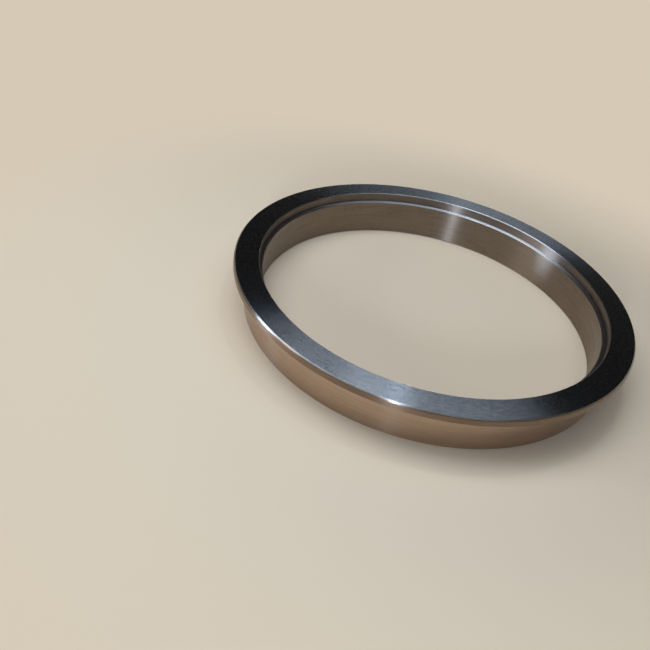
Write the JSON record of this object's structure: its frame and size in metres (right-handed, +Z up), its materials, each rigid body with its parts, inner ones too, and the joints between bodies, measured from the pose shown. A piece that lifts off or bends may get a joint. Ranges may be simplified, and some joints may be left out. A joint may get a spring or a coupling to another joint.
{
  "type": "wire drawing ring",
  "caption": "Turned steel ring that carries the wire on a drawing capstan: lapped outer wall, square lip at the top, ground top face and a stepped bore.",
  "frame": {"origin": "middle of the bottom face, on the ring's axis", "axes": "+Z up along the ring's axis, from the bottom face towards the lip; the ring is round about Z"},
  "size_m": [0.43, 0.43, 0.052],
  "materials": {
    "tool_steel": "ground top face and bore with fine turning lines, lapped outer wall"
  },
  "bodies": {
    "root": {"drawing_ring": "tool_steel"}
  },
  "joints": []
}
